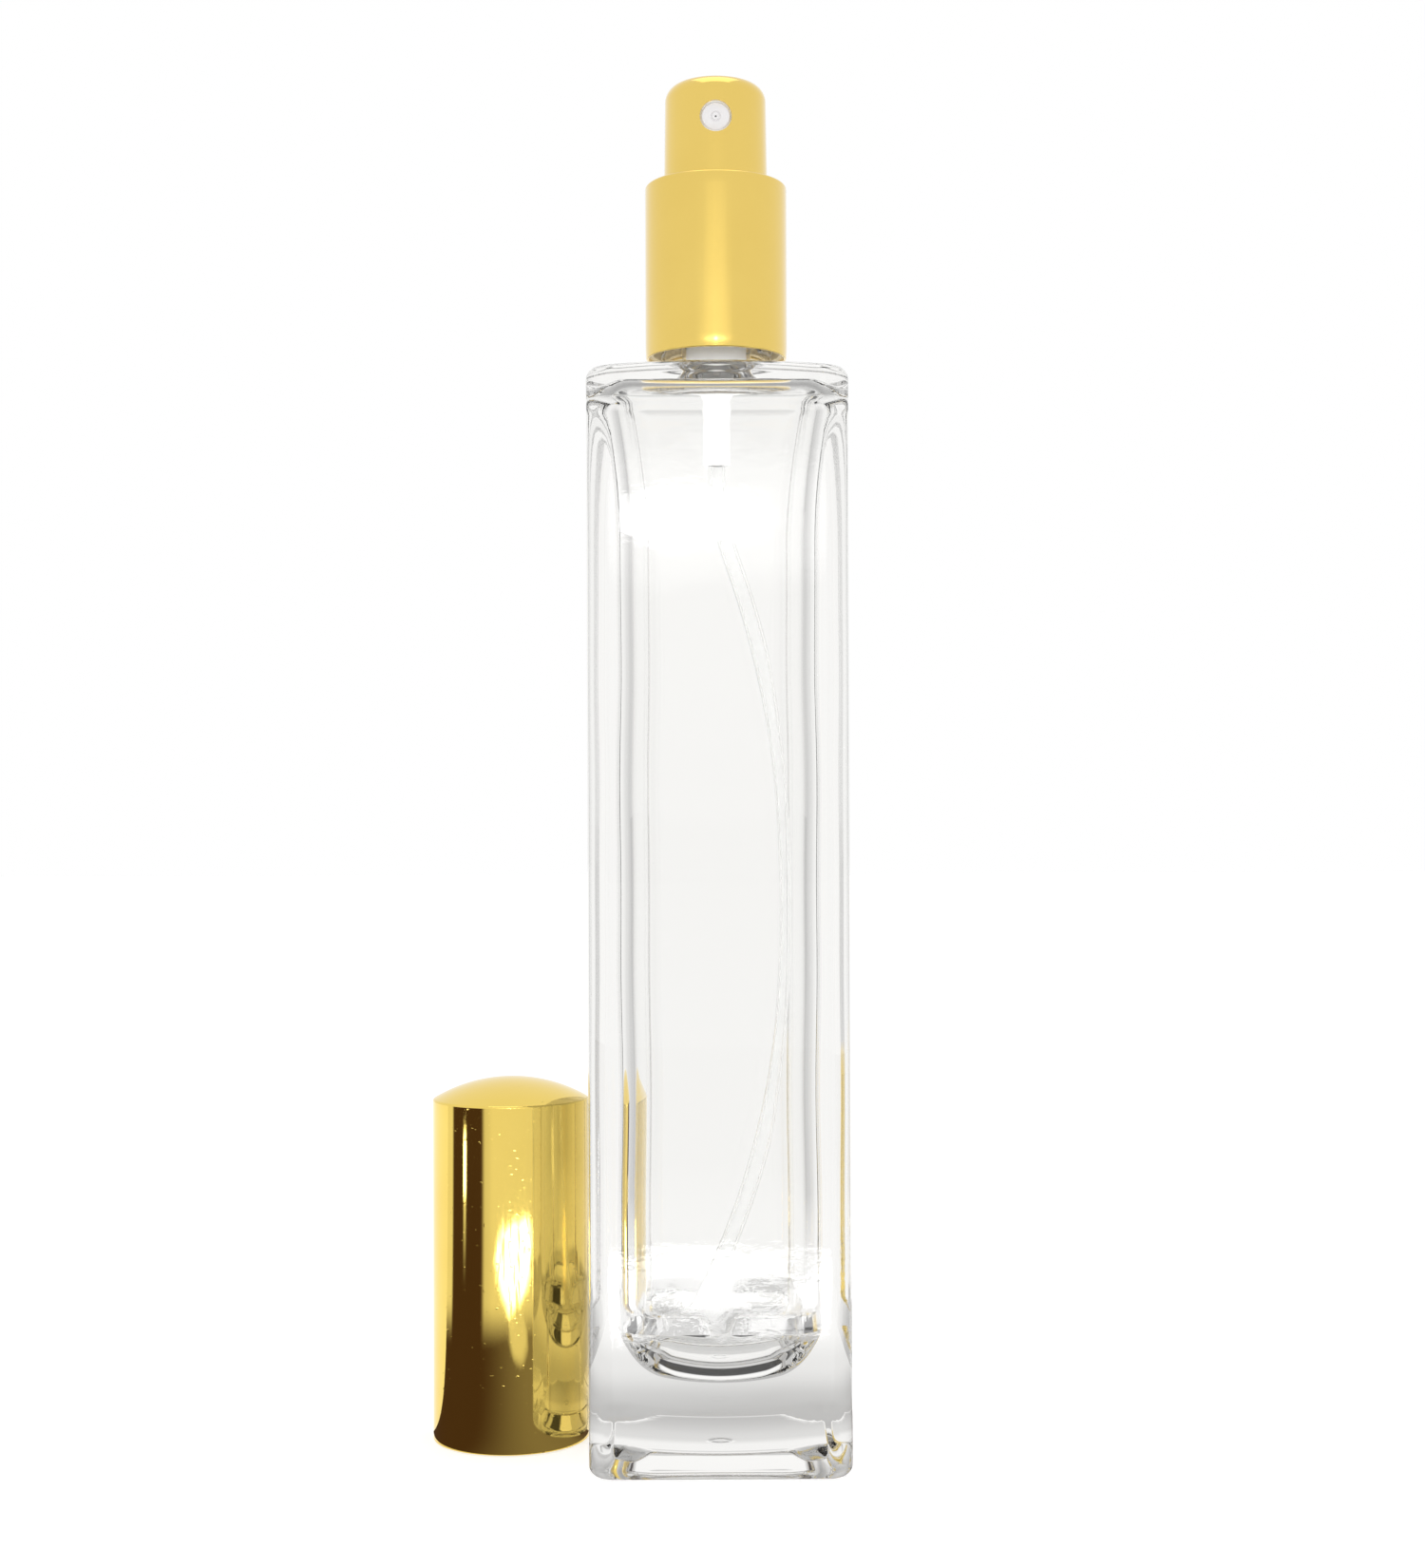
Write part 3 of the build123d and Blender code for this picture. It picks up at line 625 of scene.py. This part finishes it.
def plastic_material(name, colour, rough, grain=0.000004):
    """Moulded plastic with a fine-grained surface."""
    material, tree, shader = new_material(name)
    speck = noise(tree, 1500.0, 3.0)
    darker = tuple(c * 0.94 for c in colour)
    tree.links.new(mix_colours(tree, speck, colour, darker), shader.inputs["Base Color"])
    tree.links.new(remap(tree, speck, rough * 0.85, rough * 1.15), shader.inputs["Roughness"])
    tree.links.new(bump(tree, speck, grain), shader.inputs["Normal"])
    return material


STEEL = (0.66, 0.65, 0.63)
STEEL_MARKED = (0.56, 0.55, 0.54)


def steel_material(name, rough_low, rough_high):
    """Stainless steel with faint drawing marks."""
    material, tree, shader = new_material(name)
    shader.inputs["Metallic"].default_value = 1.0
    marks = noise(tree, 900.0, 3.0, 0.6, (1, 1, 4))
    tree.links.new(mix_colours(tree, marks, STEEL, STEEL_MARKED), shader.inputs["Base Color"])
    tree.links.new(remap(tree, marks, rough_low, rough_high), shader.inputs["Roughness"])
    tree.links.new(bump(tree, marks, 0.000003), shader.inputs["Normal"])
    return material


def tube_material():
    """Natural polyethylene: milky and translucent."""
    material, tree, shader = new_material("clear_plastic")
    speck = noise(tree, 700.0, 2.0)
    colour = mix_colours(tree, speck, (0.99, 0.99, 0.99), (0.96, 0.965, 0.965))
    tree.links.new(colour, shader.inputs["Base Color"])
    shader.inputs["Transmission Weight"].default_value = 0.9
    shader.inputs["IOR"].default_value = 1.12
    tree.links.new(remap(tree, speck, 0.12, 0.2), shader.inputs["Roughness"])
    return material


# ---- Floor and world ------------------------------------------------------------------------

# The camera sees a white floor and world. Through the glass they have the tint and the levels below.
WARM_WHITE = (1.0, 0.993, 0.98)
# Strength with which they light the parts behind the glass
LIGHT_INTO_GLASS = 2.4

# Level seen through the glass, from straight to the side (0) to straight behind or ahead (1)
WORLD_LEVELS = [(0.0, 0.62), (0.35, 0.74), (0.7, 0.87), (1.0, 0.95)]

# Level by height, from the horizon (0) to straight overhead (1)
WORLD_HEIGHTS = [(0.0, 1.0), (0.17, 1.0), (0.28, 0.8), (0.6, 0.62), (1.0, 0.6)]

# Level of the floor by distance to the side or to the front or back, up to SHADOW_REACH
FLOOR_SHADOW = [(0, 0.66), (14, 0.66), (20, 0.5), (34, 0.56), (60, 0.85), (90, 1.0)]
SHADOW_REACH = 100.0
# Painted shade, darker ahead: level of the floor from FLOOR_DEPTH ahead (0) to FLOOR_DEPTH behind (1)
FLOOR_IN_FRONT = [(0.0, 0.85), (0.3, 0.85), (0.42, 1.0)]
FLOOR_DEPTH = 150.0
# Between these distances from the axis the floor takes on the level of the world beyond it
FLOOR_FADE = (60.0, 300.0)
# A patch of painted light and a strip of painted shadow on the floor under the bottle, seen through the
# glass: half width, half depth, distance ahead of the axis
PAINTED_LIGHT_PATCH = (17.0, 5.2, 0.0)
PAINTED_SHADOW_PATCH = (20.0, 4.2, 9.3)
PAINTED_LIGHT_EDGE = [(0.42, 1.0), (0.5, 0.0)]
PAINTED_SHADOW_EDGE = [(0.4, 0.08), (0.5, 1.0)]
FLOOR_GLOW = 0.62
FLOOR_HALF = 3000
FLOOR_DROP = 0.2


def floor_material():
    """Pale floor; through the glass it shows the soft shadow that the bottle stands in."""
    material, tree, shader = new_material("studio_floor")
    shader.inputs["Base Color"].default_value = (0.5, 0.5, 0.5, 1)
    shader.inputs["Roughness"].default_value = 0.9
    shader.inputs["Emission Color"].default_value = (1, 1, 1, 1)
    shader.inputs["Emission Strength"].default_value = FLOOR_GLOW
    x, y, _ = coordinates(tree)
    to_side = maths(tree, "ABSOLUTE", x)
    to_front = maths(tree, "ABSOLUTE", y)
    share = maths(tree, "DIVIDE", maths(tree, "MAXIMUM", to_side, to_front), SHADOW_REACH * MM)
    in_front = remap(tree, y, 0, 1, -FLOOR_DEPTH * MM, FLOOR_DEPTH * MM)
    seen = maths(
        tree, "MULTIPLY", ramp(tree, share, [(mm / SHADOW_REACH, grey) for mm, grey in FLOOR_SHADOW]),
        ramp(tree, in_front, FLOOR_IN_FRONT),
    )
    # Far away the floor is as grey to the sides as the world beyond it
    away = maths(tree, "SQRT", sum_of_squares(tree, x, y))
    straight_on = ramp(tree, maths(tree, "DIVIDE", to_front, away), WORLD_LEVELS)
    far = remap(tree, away, 0, 1, FLOOR_FADE[0] * MM, FLOOR_FADE[1] * MM)
    seen = maths(tree, "MULTIPLY", seen, blend_values(tree, far, 1.0, straight_on))

    def patch(half_width, half_depth, ahead):
        """0 in the middle of a rectangle on the floor, 0.5 on its edges."""
        from_middle = maths(tree, "ABSOLUTE", maths(tree, "ADD", y, ahead * MM))
        return maths(
            tree, "MAXIMUM", maths(tree, "DIVIDE", to_side, 2 * half_width * MM),
            maths(tree, "DIVIDE", from_middle, 2 * half_depth * MM),
        )

    # Painted light under the bottle, then a strip of painted shadow across it
    seen = maths(tree, "MAXIMUM", seen, ramp(tree, patch(*PAINTED_LIGHT_PATCH), PAINTED_LIGHT_EDGE))
    seen = maths(tree, "MULTIPLY", seen, ramp(tree, patch(*PAINTED_SHADOW_PATCH), PAINTED_SHADOW_EDGE))
    glow = tree.nodes.new("ShaderNodeEmission")
    glow.inputs["Color"].default_value = (*WARM_WHITE, 1)
    path = tree.nodes.new("ShaderNodeLightPath")
    lighting = maths(tree, "MINIMUM", path.outputs["Diffuse Depth"], 1.0)
    tree.links.new(blend_values(tree, lighting, seen, LIGHT_INTO_GLASS), glow.inputs["Strength"])
    mix = tree.nodes.new("ShaderNodeMixShader")
    tree.links.new(path.outputs["Is Transmission Ray"], mix.inputs["Fac"])
    tree.links.new(shader.outputs["BSDF"], mix.inputs[1])
    tree.links.new(glow.outputs["Emission"], mix.inputs[2])
    tree.links.new(mix.outputs["Shader"], tree.nodes["Material Output"].inputs["Surface"])
    return material


def make_floor():
    """A wide floor a little under the bottle and the cap."""
    half = FLOOR_HALF
    points = [(-half, -half, 0), (half, -half, 0), (half, half, 0), (-half, half, 0)]
    floor = add_mesh("studio_floor", points, [(0, 1, 2, 3)], floor_material())
    floor.location.z = -FLOOR_DROP * MM


def make_world():
    """White all round; through the glass it is greyer at the sides and overhead."""
    world = bpy.data.worlds.new("studio")
    bpy.context.scene.world = world
    world.use_nodes = True
    tree = world.node_tree
    tree.nodes.clear()
    out = tree.nodes.new("ShaderNodeOutputWorld")
    shade = tree.nodes.new("ShaderNodeBackground")
    _, ahead, up = coordinates(tree, "Generated")
    level = ramp(tree, maths(tree, "ABSOLUTE", ahead), WORLD_LEVELS)
    high = ramp(tree, maths(tree, "ABSOLUTE", up), WORLD_HEIGHTS)
    seen_through = maths(tree, "MULTIPLY", level, high)
    path = tree.nodes.new("ShaderNodeLightPath")
    lighting = maths(tree, "MINIMUM", path.outputs["Diffuse Depth"], 1.0)
    through = blend_values(tree, lighting, seen_through, LIGHT_INTO_GLASS)
    strength = blend_values(tree, path.outputs["Is Transmission Ray"], 1.0, through)
    tint = mix_colours(tree, path.outputs["Is Transmission Ray"], (1, 1, 1), WARM_WHITE)
    tree.links.new(tint, shade.inputs["Color"])
    tree.links.new(strength, shade.inputs["Strength"])
    tree.links.new(shade.outputs["Background"], out.inputs["Surface"])


# ---- Cards seen only in reflections ---------------------------------------------------------

def hide_but_in_gloss(card):
    """Stage a card that only glossy reflections see."""
    card.visible_camera = False
    card.visible_diffuse = False
    card.visible_transmission = False
    card.visible_shadow = False
    card.visible_volume_scatter = False


def elliptical_pool(tree, first, second, ragged, middle, half, stops):
    """A soft ellipse of light with a ragged edge; middle and half are pairs in millimetres."""
    offs = []
    for value, centre, size in zip((first, second), middle, half):
        offs.append(maths(tree, "DIVIDE", maths(tree, "SUBTRACT", value, centre * MM), size * MM))
    return ramp(tree, maths(tree, "MULTIPLY", sum_of_squares(tree, *offs), ragged), stops)


def around(degrees):
    """Place of a direction on a ramp round the cap; 0 degrees is straight ahead."""
    return 0.5 + degrees / 360


# The floor card is a fan round the cap's foot
CARD_RADII = (12.0, 60.0, 600.0)
CARD_REACH = CARD_RADII[-1]
CARD_SPREAD = 100
CARD_TURNS = 48
CARD_DROP = 0.1
CARD_BRIGHTEST = 9.0
CARD_DARK = (0.075, 0.042, 0.03)
# Where the card is lit: by direction, and by share of its reach
CARD_LIT_ROUND = [
    (around(-90), 1.0), (around(-86), 0.0), (around(-39), 0.0), (around(-32), 0.85), (around(-20), 1.0),
    (around(42), 0.95), (around(50), 0.1), (around(82), 0.1), (around(94), 0.7),
]
CARD_LIT_OUT = [(0.12, 0.0), (0.19, 1.0)]
# A dim glow close to the cap, on the side of the bottle
CARD_NEAR = [(around(-40), 0.0), (around(32), 0.2), (around(60), 0.18), (around(90), 0.04)]
# A narrow bright streak, a painted highlight in the cap
STREAK_ROUND = [(around(-69), 0), (around(-66), 1.0), (around(-65), 1.0), (around(-62), 0)]
STREAK_OUT = [(0.2, 0.0), (0.36, 0.1), (0.41, 1.0), (0.52, 1.0), (0.6, 0.0)]
# Pools of light: middle and half size (each ahead of the cap and across), fall-off
BRIGHT_POOL = ((152, 28), (54, 92), [(0.35, 1.0), (1.0, 0.0)])
TAIL_POOL = ((92, 22), (36, 26), [(0.3, 0.9), (1.0, 0.0)])
# The bright pool is broken into patches, which are longer towards the front than across
PATCHES = [(0.4, 0.12), (0.46, 1.0)]
PATCH_STRETCH = (1, 0.3, 1)


def make_reflection_card():
    """A glowing card on the floor in front of the cap, a painted reflection: dark, with bright pools and
    a streak that paint the highlights in the cap and the glass.
    """
    low, high = box_mm("cap_shell")
    centre = (low + high) / 2
    points, faces = [], []
    for r in CARD_RADII:
        for k in range(CARD_TURNS + 1):
            angle = math.radians(-CARD_SPREAD + 2 * CARD_SPREAD * k / CARD_TURNS)
            points.append((centre.x + r * math.sin(angle), centre.y - r * math.cos(angle), -CARD_DROP))
    for i in range(len(CARD_RADII) - 1):
        for k in range(CARD_TURNS):
            a = i * (CARD_TURNS + 1) + k
            faces.append((a, a + 1, a + CARD_TURNS + 2, a + CARD_TURNS + 1))
    material, tree, glow = glowing_surface("reflection_card")
    x, y, _ = coordinates(tree)
    across = maths(tree, "SUBTRACT", x, centre.x * MM)
    ahead = maths(tree, "SUBTRACT", centre.y * MM, y)
    angle = maths(tree, "ARCTAN2", across, ahead)
    turn = maths(tree, "ADD", maths(tree, "DIVIDE", angle, 2 * math.pi), 0.5)
    reach = maths(tree, "SQRT", sum_of_squares(tree, across, ahead))
    share = maths(tree, "DIVIDE", reach, CARD_REACH * MM)

    ragged = remap(tree, noise(tree, 22.0, 3.0), 0.8, 1.5)
    patches = ramp(tree, noise(tree, 75.0, 3.0, 0.55, PATCH_STRETCH), PATCHES)
    pool = elliptical_pool(tree, ahead, across, ragged, *BRIGHT_POOL)
    tail = elliptical_pool(tree, ahead, across, ragged, *TAIL_POOL)
    streak = maths(tree, "MULTIPLY", ramp(tree, turn, STREAK_ROUND), ramp(tree, share, STREAK_OUT))
    bright = maths(tree, "ADD", streak, maths(tree, "MULTIPLY", patches, pool))
    wide = maths(tree, "MULTIPLY", ramp(tree, turn, CARD_LIT_ROUND), ramp(tree, share, CARD_LIT_OUT))
    near = ramp(tree, turn, CARD_NEAR)
    lit = maths(tree, "MAXIMUM", wide, maths(tree, "MAXIMUM", tail, near))
    level = maths(tree, "ADD", lit, maths(tree, "MULTIPLY", bright, CARD_BRIGHTEST))
    # Up to 1 the level turns the dark brown white; above 1 it makes the white brighter
    tint = mix_colours(tree, maths(tree, "MINIMUM", level, 1.0), CARD_DARK, (1, 1, 1))
    tree.links.new(tint, glow.inputs["Color"])
    tree.links.new(maths(tree, "MAXIMUM", level, 1.0), glow.inputs["Strength"])
    hide_but_in_gloss(add_mesh("reflection_card", points, faces, material))


WINDOW_HALF_WIDTH = 500.0
WINDOW_LOW = 60.0
WINDOW_HIGH = 420.0
WINDOW_AHEAD = 700.0
# Pools of light on it: strength, middle and half size (each across and up), fall-off
WINDOW_POOLS = (
    (10.0, (-12, 219), (42, 15), [(0.3, 1.0), (1.0, 0.0)]),
    (2.0, (-20, 219), (300, 36), [(0.0, 1.0), (1.0, 0.0)]),
    (0.3, (-20, 250), (480, 150), [(0.0, 1.0), (1.0, 0.0)]),
)


def make_window_card():
    """A glowing card in front, a painted reflection of a soft bright window that paints highlights in the
    glass and the collar: a core in a wide bar in a halo.
    """
    points = [
        (-WINDOW_HALF_WIDTH, -WINDOW_AHEAD, WINDOW_LOW), (WINDOW_HALF_WIDTH, -WINDOW_AHEAD, WINDOW_LOW),
        (WINDOW_HALF_WIDTH, -WINDOW_AHEAD, WINDOW_HIGH), (-WINDOW_HALF_WIDTH, -WINDOW_AHEAD, WINDOW_HIGH),
    ]
    material, tree, glow = glowing_surface("window_card")
    x, _, z = coordinates(tree)
    ragged = remap(tree, noise(tree, 25.0, 3.0), 0.7, 1.4)
    level = 1.0
    for strength, *shape in WINDOW_POOLS:
        pool = elliptical_pool(tree, x, z, ragged, *shape)
        level = maths(tree, "ADD", level, maths(tree, "MULTIPLY", pool, strength))
    tree.links.new(level, glow.inputs["Strength"])
    hide_but_in_gloss(add_mesh("window_card", points, [(0, 1, 2, 3)], material))


# ---- Lamp and camera ------------------------------------------------------------------------

# Lamp: metres and watts
SOFTBOX_SIZE = 0.6
SOFTBOX_HEIGHT = 0.9
SOFTBOX_POWER = 0.8


def make_soft_light():
    """A large soft lamp overhead."""
    lamp = bpy.data.lights.new("overhead_softbox", "AREA")
    lamp.shape = "SQUARE"
    lamp.size = SOFTBOX_SIZE
    lamp.energy = SOFTBOX_POWER
    obj = bpy.data.objects.new("overhead_softbox", lamp)
    obj.location = (0, 0, SOFTBOX_HEIGHT)
    obj.visible_camera = False
    obj.visible_transmission = False
    bpy.context.scene.collection.objects.link(obj)


# Camera: millimetres and degrees
CAMERA_DISTANCE = 328.7
CAMERA_HEIGHT = 90.3
CAMERA_YAW = 0.4
CAMERA_PITCH = 0.723
CAMERA_PAN = 0.132
CAMERA_ROLL = 0.205
SENSOR_WIDTH = 36.0
FOCAL_LENGTH = 52.68


def make_camera():
    """The camera that gives the main view."""
    data = bpy.data.cameras.new("camera")
    data.sensor_width = SENSOR_WIDTH
    data.lens = FOCAL_LENGTH
    data.clip_start = 0.01
    data.clip_end = 20.0
    camera = bpy.data.objects.new("camera", data)
    yaw = math.radians(CAMERA_YAW)
    place = Vector((-math.sin(yaw) * CAMERA_DISTANCE, -math.cos(yaw) * CAMERA_DISTANCE, CAMERA_HEIGHT))
    camera.location = place * MM
    turn = Euler((math.radians(90 + CAMERA_PITCH), 0, -yaw + math.radians(CAMERA_PAN)), "XYZ")
    roll = Euler((0, 0, math.radians(-CAMERA_ROLL)), "XYZ")
    camera.rotation_mode = "QUATERNION"
    camera.rotation_quaternion = turn.to_quaternion() @ roll.to_quaternion()
    bpy.context.scene.collection.objects.link(camera)
    bpy.context.scene.camera = camera


# ---- The object -----------------------------------------------------------------------------

def assign(node, material):
    """Give a CAD node that keeps its shape one material all over."""
    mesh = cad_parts[node].data
    for i in range(len(mesh.materials)):
        mesh.materials[i] = material


make_bottle(glass_material())
satin_gold = gold_material(
    "satin_gold", (0.81, 0.585, 0.14), (0.79, 0.565, 0.13),
    rough_low=0.12, rough_high=0.15, grain=0.0000001, lacquer=0.5,
)
polished_gold = gold_material(
    "polished_gold", (0.86, 0.64, 0.155), (0.83, 0.61, 0.14),
    rough_low=0.03, rough_high=0.06, grain=0.000005, lacquer=0.0,
)
white_plastic = plastic_material("white_plastic", (0.9, 0.9, 0.9), 0.45)
clear_plastic = plastic_material("natural_plastic", (0.84, 0.85, 0.84), 0.35)
for nodes, material in (
    (("actuator_shell",), satin_gold),
    (("cap_shell",), polished_gold),
    (("dip_tube",), tube_material()),
    (("nozzle_insert",), plastic_material("nozzle_plastic", (0.80, 0.785, 0.79), 0.4)),
    (("neck_gasket",), plastic_material("gasket_foam", (0.82, 0.82, 0.80), 0.8, 0.00003)),
    (("stem_seal",), plastic_material("seal_rubber", (0.2, 0.2, 0.21), 0.6, 0.00001)),
    (("inlet_ball",), steel_material("ball_steel", 0.06, 0.1)),
    (("piston", "valve_pin", "spring_seat", "upper_stem"), clear_plastic),
    # The closure's amber is a painted reflection of the gold collar, seen through the neck glass under
    # the collar
    (("screw_closure",), plastic_material("closure_painted_gold_reflection", (0.95, 0.79, 0.5), 0.4)),
    (("pump_housing", "pump_retainer", "actuator_core", "cap_liner"), white_plastic),
):
    for node in nodes:
        assign(node, material)
make_collar(satin_gold)
spring_steel = steel_material("spring_steel", 0.22, 0.32)
make_spring("return_spring", "return_coil", "pump", RETURN_WIRE, RETURN_TURNS, spring_steel)
make_spring(
    "precompression_spring", "precompression_coil", "plunger",
    PRECOMPRESSION_WIRE, PRECOMPRESSION_TURNS, spring_steel,
)

make_floor()
make_world()
make_reflection_card()
make_window_card()
make_soft_light()
make_camera()
# Light crosses many glass and gold surfaces on its way through the bottle
cycles = bpy.context.scene.cycles
cycles.max_bounces = 32
cycles.transmission_bounces = 32
cycles.glossy_bounces = 12
bpy.context.scene.view_settings.view_transform = "Standard"
